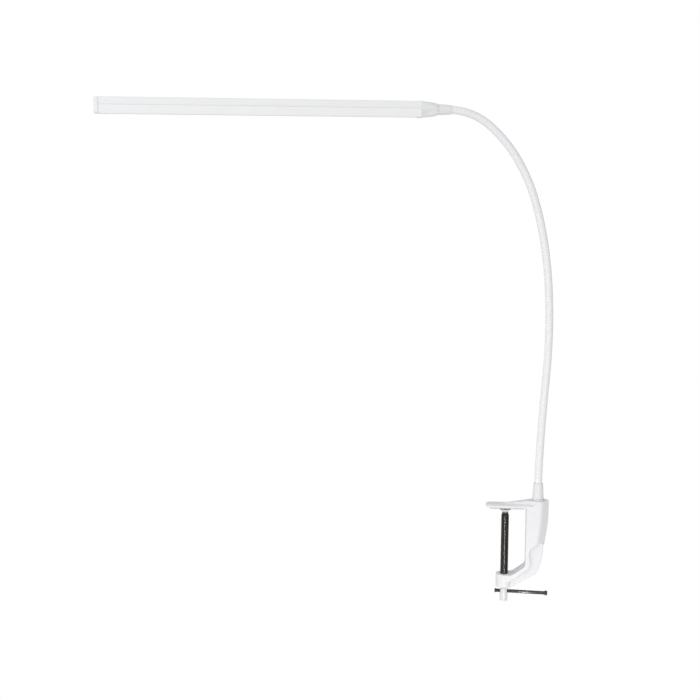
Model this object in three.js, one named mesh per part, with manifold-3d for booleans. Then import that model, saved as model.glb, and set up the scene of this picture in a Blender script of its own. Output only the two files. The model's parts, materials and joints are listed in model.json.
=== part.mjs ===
// Clamp-on LED lamp: a slim light bar on a gooseneck that swivels in a cast table clamp.
// Millimetres, +Z up. The origin is on the clamp screw's axis, in the plane of the tabletop that the
// jaw pad rests on. +X runs from the jaw's tip towards the spine.
import * as THREE from "three";
import { mergeVertices } from "three/addons/utils/BufferGeometryUtils.js";
import Module from "manifold-3d";

const wasm = await Module();
wasm.setup();

// ---- driving dimensions -------------------------------------------------------------------------
const FIT_GAP = 0.3; // clearance between pieces that touch or turn in each other

// clamp casting
const CAST_WIDTH = 17; // along Y
const CAST_EDGE = 1.6; // rounding of the casting's edges
const JAW_TIP_X = -20;
const JAW_UNDERSIDE_Z = 1.2;
const JAW_TOP_Z = 4.2;
const JAW_TIP_RADIUS = 5;
const SPINE_INNER_X = 21.4;
const SPINE_OUTER_X = 44.4;
const SPINE_SHOULDER_X = 30; // where the spine rises above the jaw plate
const SPINE_TOP_Z = 9.7;
const GUSSET_TIP_X = -6.6;
const GUSSET_WIDTH = 12;
const WEB_THICKNESS = 6;
const BOSS_RADIUS = 8.6;
const BOSS_TOP_Z = -70.8;
const BOSS_BOTTOM_Z = -84.9;

// clamp screw
const SCREW_RADIUS = 4; // M8
const SCREW_TOP_Z = -6.3;
const SCREW_JOINT_Z = -86; // the thread ends here, and a tail goes on into the screw head
const SCREW_TAIL_Z = -98;
const SCREW_TAIL_RADIUS = 2.6;
const HEAD_BOTTOM_Z = -100.9;
const BALL_Z = -3.5;
const BALL_RADIUS = 1.9;
const STEM_RADIUS = 1.2;
const PAD_FACE_Z = -1.3;
const PAD_BOTTOM_Z = -4.9;
const PAD_RADIUS = 6.2;
const TOMMY_Z = -90.3;
const TOMMY_RADIUS = 1.75;
const TOMMY_LEFT_X = -9.6;
const TOMMY_RIGHT_X = 45.2;
const TOMMY_YAW = -4; // degrees about Z

// swivel in the spine
const SWIVEL_X = 33.2;
const SOCKET_RADIUS = 5;
const SOCKET_BOTTOM_Z = -28;
const PIN_BOTTOM_Z = -12;
const PIN_GROOVE_Z = -2;
const BASE_FERRULE_TOP_Z = 26.5;
const BASE_FERRULE_RADIUS = 5.85; // at its foot
const INLET_Z = -20;
const ARM_YAW = 16.8; // degrees that the arm's plane is turned from the clamp's

// gooseneck: a short stretch in the base ferrule, then nine stretches of one length
const NECK_RADIUS = 3.85;
const NECK_BORE_RADIUS = 2.4;
const NECK_LEAD_RADIUS = 1.2;
const NECK_SIDES = 14;
const NECK_FOOT = 12; // straight length held in the base ferrule
const NECK_FIRST = 20;
const NECK_FIRST_BEND = -2; // degrees; a bend above 0 leans the neck towards the light bar
const NECK_STRETCH = 45;
const NECK_BENDS = [-1.5, -1, 4, 4.5, 6, 7.5, 14.5, 18.5, 39]; // degrees, from the base to the head
const NECK_TAIL = 7.7; // straight length held in the head ferrule
const NECK_SOCKET_RADIUS = 4.25; // hollow end of a stretch, around the ball end of the one below

// head, measured along its own axis from the end of the gooseneck's last bend
const HEAD_FERRULE_START = -1.8;
const HEAD_FERRULE_END = 11.2;
const COLLAR_START = 11.5;
const COLLAR_END = 29.6;
const STUB_RADIUS = 3;
const STUB_END = 26.2;
const SLEEVE_END = 24;
const BAR_START = 29.9;
const BAR_END = 333.8;
const END_CAP_END = 337.8;
const BAR_HALF_WIDTH = 10;
const BAR_TOP = -7.8; // the head's own X points down, so its top is below 0
const HOUSING_BOTTOM = 0.1;
const HOUSING_WALL = 1.4;
const LIP_WIDTH = 2; // inward lips that hold the diffuser
const LIP_HEIGHT = 1.3;
const DIFFUSER_TOP = 0.5;
const DIFFUSER_BOTTOM = 7.8;
const DIFFUSER_WALL = 1.3;
const PLUG_LENGTH = 5;
const BOARD_START = 38;
const BOARD_END = 327;
const BOARD_WIDTH = 13;
const BOARD_TOP = -6.1;
const BOARD_THICKNESS = 1.4;
const CHIP_COUNT = 28;
const CHIP_LENGTH = 3.5;
const CHIP_WIDTH = 2.8;
const CHIP_HEIGHT = 0.7;

const radians = THREE.MathUtils.degToRad;

// ---- solids -------------------------------------------------------------------------------------
// A closed geometry as a manifold solid with its faces pointing out.
function solid(geometry) {
  const bare = geometry.clone();
  bare.deleteAttribute("normal");
  bare.deleteAttribute("uv");
  const merged = mergeVertices(bare, 1e-4);
  const triVerts = new Uint32Array(merged.index.array);
  const vertProperties = merged.attributes.position.array;
  const made = new wasm.Manifold(new wasm.Mesh({ numProp: 3, vertProperties, triVerts }));
  if (made.volume() > 0) return made;
  triVerts.reverse();
  return new wasm.Manifold(new wasm.Mesh({ numProp: 3, vertProperties, triVerts }));
}

function geometryOf(manifold) {
  const { vertProperties, triVerts } = manifold.getMesh();
  const geometry = new THREE.BufferGeometry();
  geometry.setAttribute("position", new THREE.BufferAttribute(vertProperties, 3));
  geometry.setIndex(new THREE.BufferAttribute(triVerts, 1));
  geometry.computeVertexNormals();
  return geometry;
}

const union = (first, ...others) => others.reduce((whole, piece) => whole.add(piece), first);
const cut = (first, ...others) => others.reduce((whole, piece) => whole.subtract(piece), first);

// A solid of revolution about Z, from [radius, z] points that go up the outside and down the inside.
function turned(points, sides = 24) {
  const profile = points.map(([radius, z]) => new THREE.Vector2(radius, z));
  return solid(new THREE.LatheGeometry(profile, sides).rotateX(Math.PI / 2));
}

const rod = (radius, low, high, sides = 24) =>
  turned([[0, low], [radius, low], [radius, high], [0, high]], sides);

const box = (low, high) =>
  solid(
    new THREE.BoxGeometry(high[0] - low[0], high[1] - low[1], high[2] - low[2]).translate(
      (low[0] + high[0]) / 2,
      (low[1] + high[1]) / 2,
      (low[2] + high[2]) / 2,
    ),
  );

// A Shape drawn in X and Y, from z = low to z = high; edge rounds its outline at both ends.
function plate(shape, low, high, edge = 0) {
  const bevel = { bevelEnabled: edge > 0, bevelThickness: edge, bevelSize: edge, bevelOffset: -edge };
  const options = { depth: high - low - 2 * edge, bevelSegments: 2, curveSegments: 6, ...bevel };
  return solid(new THREE.ExtrudeGeometry(shape, options).translate(0, 0, low + edge));
}

// A Shape drawn in X and Z, centred on the plane Y = 0.
const sidePlate = (shape, width, edge = 0) =>
  plate(shape, -width / 2, width / 2, edge).rotate([90, 0, 0]);

const outline = (points) => new THREE.Shape(points.map(([x, y]) => new THREE.Vector2(x, y)));

// ---- materials ----------------------------------------------------------------------------------
const paint = (color, roughness, metalness) =>
  new THREE.MeshStandardMaterial({ color, roughness, metalness });
const LOOKS = {
  powder_coat: paint(0xf1f2f2, 0.45, 0.1),
  gooseneck_white: paint(0xeeeff2, 0.4, 0.1),
  white_aluminium: paint(0xeff0ee, 0.4, 0.2),
  opal_plastic: paint(0xf3f5fa, 0.35, 0),
  frosted_plastic: paint(0xdfe1e2, 0.4, 0),
  black_nickel: paint(0x2b2826, 0.3, 1),
  white_zinc: paint(0xe6e6e3, 0.35, 0.4),
  steel: paint(0xb9bbbd, 0.35, 1),
  rubber: paint(0x6f6f72, 0.85, 0),
  black_plastic: paint(0x1c1c1e, 0.6, 0),
  nylon: paint(0xe8e8e2, 0.5, 0),
  lead: paint(0xd8d8d8, 0.6, 0),
  circuit_board: paint(0xf4f4f0, 0.6, 0),
};

const lamp = new THREE.Group();

function place(name, look, manifold, group = lamp) {
  const mesh = new THREE.Mesh(geometryOf(manifold), LOOKS[look].clone());
  mesh.name = name;
  group.add(mesh);
}

// ---- clamp casting ------------------------------------------------------------------------------
// The curved outer edge that spine and web share, from the top of the spine to the boss.
function drawOuterEdge(shape) {
  shape.lineTo(SPINE_OUTER_X, -2);
  shape.quadraticCurveTo(44.1, -20, 40.5, -37);
}

function jawPlate() {
  const half = CAST_WIDTH / 2;
  const shape = new THREE.Shape();
  shape.moveTo(SPINE_SHOULDER_X, -half);
  shape.lineTo(SPINE_SHOULDER_X, half);
  shape.lineTo(JAW_TIP_X + JAW_TIP_RADIUS, half);
  shape.absarc(JAW_TIP_X + JAW_TIP_RADIUS, half - JAW_TIP_RADIUS, JAW_TIP_RADIUS, Math.PI / 2, Math.PI);
  shape.absarc(JAW_TIP_X + JAW_TIP_RADIUS, JAW_TIP_RADIUS - half, JAW_TIP_RADIUS, Math.PI, 1.5 * Math.PI);
  return plate(shape, JAW_UNDERSIDE_Z, JAW_TOP_Z, 0.8);
}

// A ramp on the jaw plate, pointed at the jaw and as high as the spine at its other end.
function gusset() {
  const root = SPINE_SHOULDER_X + 2;
  const half = GUSSET_WIDTH / 2;
  const base = JAW_TOP_Z - 1;
  const plan = outline([[GUSSET_TIP_X, 0], [root, -half], [root, half]]);
  const side = outline([
    [GUSSET_TIP_X, base],
    [root, base],
    [root, SPINE_TOP_Z - 0.3],
    [24, SPINE_TOP_Z - 0.5],
    [GUSSET_TIP_X, JAW_TOP_Z],
  ]);
  return plate(plan, base, SPINE_TOP_Z).intersect(sidePlate(side, CAST_WIDTH));
}

// The spine and the arm's flange: one outline with the step that uncovers the web.
function spineAndFlange() {
  const shape = new THREE.Shape();
  shape.moveTo(SPINE_SHOULDER_X, SPINE_TOP_Z);
  shape.lineTo(SPINE_OUTER_X, SPINE_TOP_Z);
  drawOuterEdge(shape);
  shape.lineTo(36.6, -35.2);
  shape.quadraticCurveTo(26.2, -41.5, 25.7, -46.5);
  shape.quadraticCurveTo(26.6, -52, 27, -57.5);
  shape.quadraticCurveTo(27, -61.8, 23.8, -63.9);
  shape.lineTo(6, -77.6);
  shape.lineTo(0, -77.6);
  shape.lineTo(0, BOSS_TOP_Z);
  shape.lineTo(8, BOSS_TOP_Z);
  shape.lineTo(19.4, -62.4);
  shape.quadraticCurveTo(SPINE_INNER_X, -60.9, SPINE_INNER_X, -58.2);
  shape.lineTo(SPINE_INNER_X, JAW_UNDERSIDE_Z + 0.4);
  shape.lineTo(SPINE_SHOULDER_X, JAW_UNDERSIDE_Z + 0.4);
  return sidePlate(shape, CAST_WIDTH, CAST_EDGE);
}

function web() {
  const shape = new THREE.Shape();
  shape.moveTo(26, -20);
  shape.lineTo(42.3, -20);
  shape.quadraticCurveTo(41.8, -29, 40.4, -37);
  shape.quadraticCurveTo(38.6, -51, 32.3, -64.4);
  shape.quadraticCurveTo(29.8, -70.2, 24.3, -73.9);
  shape.lineTo(8.4, BOSS_BOTTOM_Z + 0.6);
  shape.lineTo(3, BOSS_BOTTOM_Z + 0.6);
  shape.lineTo(3, -75);
  shape.lineTo(22, -63);
  return sidePlate(shape, WEB_THICKNESS, 0.8);
}

// Turns a solid that runs along +Z into one that runs along +Y, at the given X and Z.
const alongY = (piece, x, z) => piece.rotate([-90, 0, 0]).translate([x, 0, z]);

function clampCasting() {
  const edge = 0.8;
  const boss = turned([
    [0, BOSS_BOTTOM_Z],
    [BOSS_RADIUS - edge, BOSS_BOTTOM_Z],
    [BOSS_RADIUS, BOSS_BOTTOM_Z + edge],
    [BOSS_RADIUS, BOSS_TOP_Z - edge],
    [BOSS_RADIUS - edge, BOSS_TOP_Z],
    [0, BOSS_TOP_Z],
  ]);
  const body = union(jawPlate(), gusset(), spineAndFlange(), web(), boss);
  const screwBore = rod(SCREW_RADIUS + FIT_GAP, BOSS_BOTTOM_Z - 1, BOSS_TOP_Z + 1);
  const socket = rod(SOCKET_RADIUS, SOCKET_BOTTOM_Z, SPINE_TOP_Z + 1).translate([SWIVEL_X, 0, 0]);
  const grubHole = alongY(rod(2.3, 2, CAST_WIDTH, 16), SWIVEL_X, PIN_GROOVE_Z);
  const inletHole = alongY(rod(4, 2, CAST_WIDTH), SWIVEL_X, INLET_Z);
  return cut(body, screwBore, socket, grubHole, inletHole);
}

// Rubber strip under the jaw, with grooves across it against slipping.
function jawPad() {
  const bottom = 0;
  const top = JAW_UNDERSIDE_Z - FIT_GAP;
  const start = -16;
  const end = 19; // short of the spine, so that a tabletop's edge can reach the spine's face
  const pitch = 4;
  const groove = 0.8;
  const depth = 0.35;
  const points = [[start, top], [start, bottom]];
  for (let x = start + pitch; x < end; x += pitch) {
    const [left, right] = [x - groove / 2, x + groove / 2];
    points.push([left, bottom], [left, depth], [right, depth], [right, bottom]);
  }
  points.push([end, bottom], [end, top]);
  return sidePlate(outline(points), CAST_WIDTH - 3);
}

// Barrel socket for a low-voltage plug, let into the back of the spine.
function powerInlet() {
  const inner = 5.6;
  const face = CAST_WIDTH / 2 + FIT_GAP;
  const shell = turned([
    [0, inner],
    [3.7, inner],
    [3.7, face],
    [5, face],
    [5, face + 0.9],
    [2.9, face + 0.9],
    [2.9, inner + 1],
    [1, inner + 1],
    [1, face + 0.4],
    [0, face + 0.4],
  ]);
  return alongY(shell, SWIVEL_X, INLET_Z);
}

// Headless screw whose tip stands in the groove of the swivel pin.
function grubScrew() {
  const tip = 4.1;
  const end = 8;
  const key = 1.1; // radius of the socket for its key
  const profile = [[0, tip], [1.2, tip], [2, tip + 0.9], [2, end], [key, end], [key, 6.6], [0, 6.6]];
  return alongY(turned(profile, 16), SWIVEL_X, PIN_GROOVE_Z);
}

place("clamp_casting", "powder_coat", clampCasting());
place("jaw_pad", "rubber", jawPad());
place("power_inlet", "black_plastic", powerInlet());
place("pin_grub_screw", "steel", grubScrew());

// ---- clamp screw --------------------------------------------------------------------------------
// A rod along X at the tommy bar's height and yaw.
const tommyRod = (piece) => piece.rotate([0, 90, 0]).rotate([0, 0, TOMMY_YAW]).translate([0, 0, TOMMY_Z]);
const tommyHole = () => tommyRod(rod(TOMMY_RADIUS + FIT_GAP, -9, 9, 16));

// Threaded rod with a ball on top and, below, a plain tail that is pinned by the tommy bar in the head.
function screwRod() {
  const rodSolid = turned([
    [0, SCREW_TAIL_Z],
    [SCREW_TAIL_RADIUS, SCREW_TAIL_Z],
    [SCREW_TAIL_RADIUS, SCREW_JOINT_Z],
    [SCREW_RADIUS, SCREW_JOINT_Z],
    [SCREW_RADIUS, SCREW_TOP_Z - 0.6],
    [SCREW_RADIUS - 0.6, SCREW_TOP_Z],
    [STEM_RADIUS, SCREW_TOP_Z],
    [STEM_RADIUS, BALL_Z - Math.sqrt(BALL_RADIUS ** 2 - STEM_RADIUS ** 2)],
    ...[-20, 20, 55].map((latitude) => [
      BALL_RADIUS * Math.cos(radians(latitude)),
      BALL_Z + BALL_RADIUS * Math.sin(radians(latitude)),
    ]),
    [0, BALL_Z + BALL_RADIUS],
  ]);
  return cut(rodSolid, tommyHole());
}

function screwHead() {
  const top = SCREW_JOINT_Z - FIT_GAP;
  const bore = SCREW_TAIL_RADIUS + FIT_GAP;
  const sleeve = turned([
    [0, HEAD_BOTTOM_Z],
    [SCREW_RADIUS - 0.7, HEAD_BOTTOM_Z],
    [SCREW_RADIUS, HEAD_BOTTOM_Z + 0.7],
    [SCREW_RADIUS, top],
    [bore, top],
    [bore, SCREW_TAIL_Z - FIT_GAP],
    [0, SCREW_TAIL_Z - FIT_GAP],
  ]);
  return cut(sleeve, tommyHole());
}

// The bar that turns the screw: a small stop on one end and a flared stop on the other.
const tommyBar = () =>
  tommyRod(
    turned(
      [
        [0, TOMMY_LEFT_X],
        [1.6, TOMMY_LEFT_X],
        [2.2, TOMMY_LEFT_X + 0.6],
        [2.2, TOMMY_LEFT_X + 1.4],
        [TOMMY_RADIUS, TOMMY_LEFT_X + 2],
        [TOMMY_RADIUS, TOMMY_RIGHT_X - 3.4],
        [2.7, TOMMY_RIGHT_X - 2.2],
        [2.7, TOMMY_RIGHT_X - 0.6],
        [1.9, TOMMY_RIGHT_X],
        [0, TOMMY_RIGHT_X],
      ],
      16,
    ),
  );

// Dish that presses on the tabletop from below, with the socket that holds the screw's ball.
function swivelPad() {
  const mouth = BALL_RADIUS - 0.15; // narrower than the ball, so that the pad stays on it
  const socket = BALL_RADIUS + FIT_GAP;
  const eye = 1.3; // hole in the middle of the pad's face
  return turned([
    [mouth, PAD_BOTTOM_Z],
    [3.3, PAD_BOTTOM_Z],
    [3.5, PAD_BOTTOM_Z + 1.1],
    [PAD_RADIUS, PAD_FACE_Z - 0.9],
    [PAD_RADIUS, PAD_FACE_Z],
    [eye, PAD_FACE_Z],
    [eye, PAD_FACE_Z - 0.15],
    [socket, BALL_Z + 1.3],
    [socket, BALL_Z - 0.8],
    [mouth, PAD_BOTTOM_Z + 0.15],
    [mouth, PAD_BOTTOM_Z],
  ]);
}

// A flat ring about Z.
const ring = (inner, outer, low, high) =>
  turned([[inner, low], [outer, low], [outer, high], [inner, high], [inner, low]]);

const thrustWasher = () => ring(STEM_RADIUS + FIT_GAP, 3.4, SCREW_TOP_Z + FIT_GAP, SCREW_TOP_Z + 0.9);

place("clamp_screw", "black_nickel", screwRod());
place("screw_head", "white_zinc", screwHead());
place("tommy_bar", "black_nickel", tommyBar());
place("swivel_pad", "nylon", swivelPad());
place("thrust_washer", "steel", thrustWasher());

// ---- swivel -------------------------------------------------------------------------------------
// Ferrule and hollow swivel pin, turned in one piece.
function baseFerrule() {
  const foot = SPINE_TOP_Z + 1.1;
  const pin = SOCKET_RADIUS - FIT_GAP;
  const bore = NECK_RADIUS + FIT_GAP;
  const seat = BASE_FERRULE_TOP_Z - NECK_FOOT - FIT_GAP;
  return turned([
    [NECK_BORE_RADIUS, PIN_BOTTOM_Z],
    [pin, PIN_BOTTOM_Z],
    [pin, PIN_GROOVE_Z - 2],
    [pin - 1, PIN_GROOVE_Z - 1.6],
    [pin - 1, PIN_GROOVE_Z + 1.6],
    [pin, PIN_GROOVE_Z + 2],
    [pin, foot],
    [BASE_FERRULE_RADIUS, foot],
    [5.3, BASE_FERRULE_TOP_Z - 0.6],
    [4.8, BASE_FERRULE_TOP_Z],
    [bore, BASE_FERRULE_TOP_Z],
    [bore, seat],
    [NECK_BORE_RADIUS, seat],
    [NECK_BORE_RADIUS, PIN_BOTTOM_Z],
  ]);
}

const swivelWasher = () =>
  ring(SOCKET_RADIUS, BASE_FERRULE_RADIUS, SPINE_TOP_Z + FIT_GAP, SPINE_TOP_Z + 0.8);

// The arm's own frame: +X is the way the lamp reaches, +Z is up the swivel's axis.
const arm = new THREE.Group();
arm.position.x = SWIVEL_X;
arm.rotation.z = Math.PI + radians(ARM_YAW);
lamp.add(arm);
place("swivel_washer", "nylon", swivelWasher(), arm);
place("base_ferrule", "powder_coat", baseFerrule(), arm);

// ---- gooseneck ----------------------------------------------------------------------------------
// A stretch's centreline: it starts at the origin along +Z and bends towards +X, and runs straight
// before the bend for `before` and after it for `after`.
class StretchCurve extends THREE.Curve {
  constructor(length, bend, before = 0, after = 0) {
    super();
    Object.assign(this, { length, bend: radians(bend), before, after });
  }
  at(distance) {
    const s = THREE.MathUtils.clamp(distance, 0, this.length);
    const curvature = this.bend / this.length;
    const angle = curvature * s;
    const straight = distance - s;
    const x = (1 - Math.cos(angle)) / curvature + straight * Math.sin(angle);
    return new THREE.Vector3(x, 0, Math.sin(angle) / curvature + straight * Math.cos(angle));
  }
  getPoint(t) {
    return this.at(-this.before + t * (this.length + this.before + this.after));
  }
}

function sweep(radius, curve, steps, sides) {
  const shape = new THREE.Shape();
  for (let i = 0; i < sides; i++) {
    const angle = (2 * Math.PI * (i + 0.5)) / sides;
    const [x, y] = [radius * Math.cos(angle), radius * Math.sin(angle)];
    i ? shape.lineTo(x, y) : shape.moveTo(x, y);
  }
  return solid(new THREE.ExtrudeGeometry(shape, { steps, extrudePath: curve }));
}

const ball = (radius) => solid(new THREE.SphereGeometry(radius, NECK_SIDES, 8).rotateX(Math.PI / 2));

// One stretch of hollow neck, with a socket at its foot and a ball end at its top where it meets others.
function neckTube({ length, bend, before = 0, after = 0 }) {
  const steps = 3 + Math.ceil(Math.abs(bend) / 5);
  const reach = before + after;
  let tube = sweep(NECK_RADIUS, new StretchCurve(length, bend, before, after), steps, NECK_SIDES);
  if (!before) tube = cut(tube, ball(NECK_SOCKET_RADIUS));
  if (!after) {
    const end = new StretchCurve(length, bend).at(length);
    tube = union(tube, ball(NECK_RADIUS).rotate([0, bend, 0]).translate(end.toArray()));
  }
  const bore = new StretchCurve(length, bend, before + 5, after + 5);
  return cut(tube, sweep(NECK_BORE_RADIUS, bore, steps + (reach ? 2 : 1), 10));
}

// The lead's piece in a stretch, kept clear of the joints at the stretch's ends.
function neckLead({ length, bend, before = 0, after = 0 }) {
  const clearOfJointBelow = NECK_SOCKET_RADIUS + 0.3;
  const clearOfJointAbove = 0.6;
  const start = before ? -before : clearOfJointBelow;
  const stop = after ? length + after : length - clearOfJointAbove;
  const curve = new StretchCurve(length, bend);
  const route = new THREE.Curve();
  route.getPoint = (t) => curve.at(start + t * (stop - start));
  return sweep(NECK_LEAD_RADIUS, route, 3 + Math.ceil(Math.abs(bend) / 8), 6);
}

// Each stretch has a group at its foot; the next group is at the stretch's end, turned by its bend.
let joint = new THREE.Group();
joint.name = "neck_foot";
joint.position.z = BASE_FERRULE_TOP_Z;
arm.add(joint);
const stretches = [
  { length: NECK_FIRST, bend: NECK_FIRST_BEND },
  ...NECK_BENDS.map((bend) => ({ length: NECK_STRETCH, bend })),
];
Object.assign(stretches[0], { before: NECK_FOOT, leadBefore: BASE_FERRULE_TOP_Z - PIN_BOTTOM_Z });
Object.assign(stretches.at(-1), { after: NECK_TAIL, leadAfter: STUB_END - 0.6 });
for (const [index, stretch] of stretches.entries()) {
  const { length, bend, leadBefore, leadAfter } = stretch;
  place(`neck_${index + 1}`, "gooseneck_white", neckTube(stretch), joint);
  const lead = neckLead({ length, bend, before: leadBefore, after: leadAfter });
  place(`neck_lead_${index + 1}`, "lead", lead, joint);
  const next = new THREE.Group();
  next.name = `neck_joint_${index + 1}`;
  next.position.copy(new StretchCurve(length, bend).at(length));
  next.rotation.y = radians(bend);
  joint.add(next);
  joint = next;
}
const head = joint;

// The lead's piece in the clamp, from the inlet to just below the swivel pin.
const inletRoute = new THREE.QuadraticBezierCurve3(
  new THREE.Vector3(SWIVEL_X, 5.2, INLET_Z),
  new THREE.Vector3(SWIVEL_X, 0, INLET_Z),
  new THREE.Vector3(SWIVEL_X, 0, PIN_BOTTOM_Z - 1),
);
place("inlet_lead", "lead", sweep(NECK_LEAD_RADIUS, inletRoute, 5, 6));

// ---- head ---------------------------------------------------------------------------------------
// In the head's frame +Z runs out along the bar, +X points down and +Y is across the bar.
function headFerrule() {
  const bore = NECK_RADIUS + 0.25;
  const lead = 2;
  return turned([
    [bore, HEAD_FERRULE_START],
    [bore + 0.2, HEAD_FERRULE_START],
    [4.6, HEAD_FERRULE_START + 1.6],
    [5.25, HEAD_FERRULE_END],
    [STUB_RADIUS, HEAD_FERRULE_END],
    [STUB_RADIUS, SLEEVE_END + 0.3],
    [STUB_RADIUS - 0.4, SLEEVE_END + 0.3],
    [STUB_RADIUS - 0.4, SLEEVE_END + 1.3],
    [STUB_RADIUS, SLEEVE_END + 1.3],
    [STUB_RADIUS, STUB_END],
    [lead, STUB_END],
    [lead, NECK_TAIL + FIT_GAP],
    [bore, NECK_TAIL + FIT_GAP],
    [bore, HEAD_FERRULE_START],
  ]);
}

// Steel bush in the collar, in which the ferrule's stub turns.
const pivotSleeve = () => ring(STUB_RADIUS + FIT_GAP, 4.3, COLLAR_START + 0.6, SLEEVE_END);

// C-shaped clip in the stub's groove, which keeps the collar on the ferrule.
function retainingClip() {
  const gap = radians(35);
  const shape = new THREE.Shape();
  shape.absarc(0, 0, 3.7, gap, 2 * Math.PI - gap, false);
  shape.absarc(0, 0, STUB_RADIUS - 0.15, 2 * Math.PI - gap, gap, true);
  return plate(shape, SLEEVE_END + 0.5, SLEEVE_END + 1.1);
}

// Cross-section of the whole bar: a rounded top and a deeper rounding below.
function barSection(grow = 0) {
  const half = BAR_HALF_WIDTH + grow;
  const top = BAR_TOP - grow;
  const bottom = DIFFUSER_BOTTOM + grow;
  const corner = 1.8;
  const shape = new THREE.Shape();
  shape.moveTo(top + corner, -half);
  shape.quadraticCurveTo(top, -half, top, corner - half);
  shape.lineTo(top, half - corner);
  shape.quadraticCurveTo(top, half, top + corner, half);
  shape.lineTo(DIFFUSER_TOP + 1.5, half);
  shape.bezierCurveTo(bottom - 1.5, half, bottom, half - 2.5, bottom, half - 6);
  shape.lineTo(bottom, 6 - half);
  shape.bezierCurveTo(bottom, 2.5 - half, bottom - 1.5, -half, DIFFUSER_TOP + 1.5, -half);
  return shape;
}

const slab = (x0, x1, halfWidth, z0, z1) => box([x0, -halfWidth, z0], [x1, halfWidth, z1]);

// Aluminium channel, open below, with lips that the diffuser's legs snap behind.
function housing() {
  const below = 20;
  return cut(
    plate(barSection(), BAR_START, BAR_END),
    slab(HOUSING_BOTTOM, below, below, BAR_START - 1, BAR_END + 1),
    slab(BAR_TOP + HOUSING_WALL, HOUSING_BOTTOM - LIP_HEIGHT, BAR_HALF_WIDTH - HOUSING_WALL, 0, BAR_END + 1),
    slab(-LIP_HEIGHT - 1, below, BAR_HALF_WIDTH - LIP_WIDTH, BAR_START - 1, BAR_END + 1),
  );
}

// Opal cover: a shell with two legs that stand up inside the housing's lips.
function diffuser() {
  const legOuter = BAR_HALF_WIDTH - LIP_WIDTH - FIT_GAP;
  const legTop = HOUSING_BOTTOM - LIP_HEIGHT - 0.9;
  const shell = cut(
    plate(barSection(-0.2), BAR_START, BAR_END),
    slab(-20, DIFFUSER_TOP, 20, BAR_START - 1, BAR_END + 1),
    plate(barSection(-0.2 - DIFFUSER_WALL), BAR_START - 1, BAR_END + 1),
  );
  const shelf = slab(DIFFUSER_TOP, DIFFUSER_TOP + 1.2, BAR_HALF_WIDTH - 0.6, BAR_START, BAR_END);
  const legs = slab(legTop, DIFFUSER_TOP + 0.6, legOuter, BAR_START, BAR_END);
  const channel = slab(-20, DIFFUSER_TOP + 2, legOuter - 1, BAR_START - 1, BAR_END + 1);
  return cut(union(shell, shelf, legs), channel);
}

// Block that fits inside the ends of the bar, between the diffuser's legs.
const plug = (z0, z1) => slab(-4, 5.4, BAR_HALF_WIDTH - LIP_WIDTH - FIT_GAP - 1.3, z0, z1);

// Collar: a loft from a circle at the ferrule to the bar's section, bored for the sleeve.
function collar() {
  const rings = 6;
  const length = COLLAR_END - COLLAR_START;
  const geometry = new THREE.CylinderGeometry(1, 1, 1, 32, rings).rotateX(Math.PI / 2);
  const position = geometry.attributes.position;
  for (let i = 0; i < position.count; i++) {
    const [x, y, t] = [position.getX(i), position.getY(i), position.getZ(i) + 0.5];
    const spread = t < 0.17 ? 5.2 + (t / 0.17) * 1.3 : 6.5;
    const open = THREE.MathUtils.smoothstep(t, 0.17, 1);
    const height = spread + 1.7 * Math.max(0, (t - 0.17) / 0.83);
    const width = spread + 3.7 * open;
    const square = 1 + 1.6 * open; // 1 keeps the circle, more squares it
    const reach = (Math.abs(x) ** (2 * square) + Math.abs(y) ** (2 * square)) ** (-1 / (2 * square));
    const scale = x || y ? reach : 0;
    position.setXYZ(i, x * scale * height, y * scale * width, COLLAR_START + t * length);
  }
  return cut(
    union(solid(geometry), plug(COLLAR_END - 0.5, COLLAR_END + PLUG_LENGTH)),
    rod(4.6, COLLAR_START - 1, SLEEVE_END + FIT_GAP),
    rod(4.1, SLEEVE_END, SLEEVE_END + 3),
    rod(3.2, SLEEVE_END + 2, COLLAR_END + PLUG_LENGTH + 1),
  );
}

const endCap = () =>
  union(
    plate(barSection(0.1), BAR_END + FIT_GAP, END_CAP_END, 1.1),
    plug(BAR_END - PLUG_LENGTH, BAR_END + 1),
  );

// Strip of white LEDs; the chips face down into the diffuser.
function ledBoard() {
  const face = BOARD_TOP + BOARD_THICKNESS;
  const pitch = (BOARD_END - BOARD_START) / CHIP_COUNT;
  let board = slab(BOARD_TOP, face, BOARD_WIDTH / 2, BOARD_START, BOARD_END);
  for (let i = 0; i < CHIP_COUNT; i++) {
    const middle = BOARD_START + (i + 0.5) * pitch;
    const [start, end] = [middle - CHIP_LENGTH / 2, middle + CHIP_LENGTH / 2];
    board = board.add(slab(face - 0.2, face + CHIP_HEIGHT, CHIP_WIDTH / 2, start, end));
  }
  return board;
}

const headRoute = new THREE.CatmullRomCurve3([
  new THREE.Vector3(0, 0, STUB_END + 0.6),
  new THREE.Vector3(0, 0, COLLAR_END),
  new THREE.Vector3(-1.4, 0, COLLAR_END + PLUG_LENGTH),
  new THREE.Vector3(-3.1, 0, BOARD_START + 0.8),
]);

place("head_ferrule", "powder_coat", headFerrule(), head);
place("retaining_clip", "steel", retainingClip(), head);
place("pivot_sleeve", "steel", pivotSleeve(), head);
place("collar", "frosted_plastic", collar(), head);
place("light_housing", "white_aluminium", housing(), head);
place("diffuser", "opal_plastic", diffuser(), head);
place("end_cap", "frosted_plastic", endCap(), head);
place("led_board", "circuit_board", ledBoard(), head);
place("head_lead", "lead", sweep(1.1, headRoute, 6, 6), head);

export default lamp;
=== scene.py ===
"""Looks of a clamp-on LED lamp: a slim light bar on a gooseneck that swivels in a table clamp.

Shapes are worked out in millimetres, in the row frame or in the head's own axes, and are made
in metres. An outline is a list of (x, y, cut) corners, where cut says how far from the corner a
curve that replaces it starts; a turned piece's profile has (radius, height, cut) corners."""

import json
import math

import bmesh
import bpy
from mathutils import Matrix, Vector


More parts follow.
